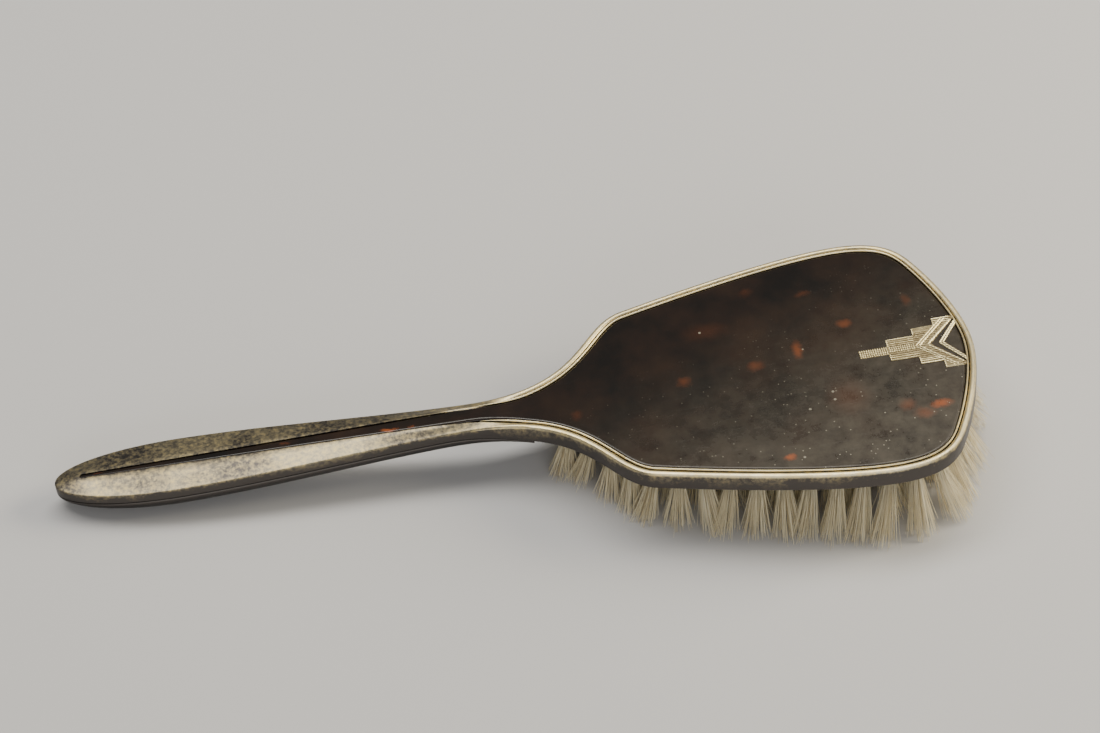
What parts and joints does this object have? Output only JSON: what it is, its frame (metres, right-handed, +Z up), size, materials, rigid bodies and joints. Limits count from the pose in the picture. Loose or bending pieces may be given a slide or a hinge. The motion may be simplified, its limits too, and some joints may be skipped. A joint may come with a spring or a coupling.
{
  "type": "vanity hairbrush",
  "caption": "Hand hairbrush with a silver-mounted tortoiseshell back, tapering handle with inlaid tail, stepped Art Deco inlay and drawn natural bristle tufts, lying at rest on its bristles",
  "frame": {"origin": "on the surface the brush lies on, at the centre of its footprint", "axes": "+X from the butt of the handle to the end of the head, +Y across the head, +Z up, away from the bristle tips"},
  "size_m": [0.255, 0.091, 0.0295],
  "materials": {
    "silver": "old polished silver with a warm tarnish and fine wear",
    "inlay_silver": "pale gilt silver, engraved with fine lines",
    "tortoiseshell": "dark polished tortoiseshell with amber-red blotches, slightly hazed",
    "pitch": "matt dark cement",
    "wood": "waxed beech",
    "steel": "plain drawn rod",
    "bristle": "natural cream boar bristle, satin"
  },
  "bodies": {
    "root": {"silver_back_frame": "silver", "silver_handle_shell": "silver", "panel_retaining_bead": "silver", "tortoiseshell_panel": "tortoiseshell", "inlay_ribbed_stem": "inlay_silver", "inlay_stepped_fan": "inlay_silver", "inlay_chevron": "inlay_silver", "panel_cement_bed": "pitch", "bristle_block_cover": "wood", "bristle_block": "wood", "handle_pitch_filling": "pitch", "handle_core_rod": "steel", "bristle_border_row": "bristle", "bristle_second_row": "bristle", "bristle_row_01": "bristle", "bristle_row_02": "bristle", "bristle_row_03": "bristle", "bristle_row_04": "bristle", "bristle_row_05": "bristle", "bristle_row_06": "bristle", "bristle_row_07": "bristle", "bristle_row_08": "bristle", "bristle_row_09": "bristle", "bristle_row_10": "bristle", "bristle_row_11": "bristle"}
  },
  "joints": []
}
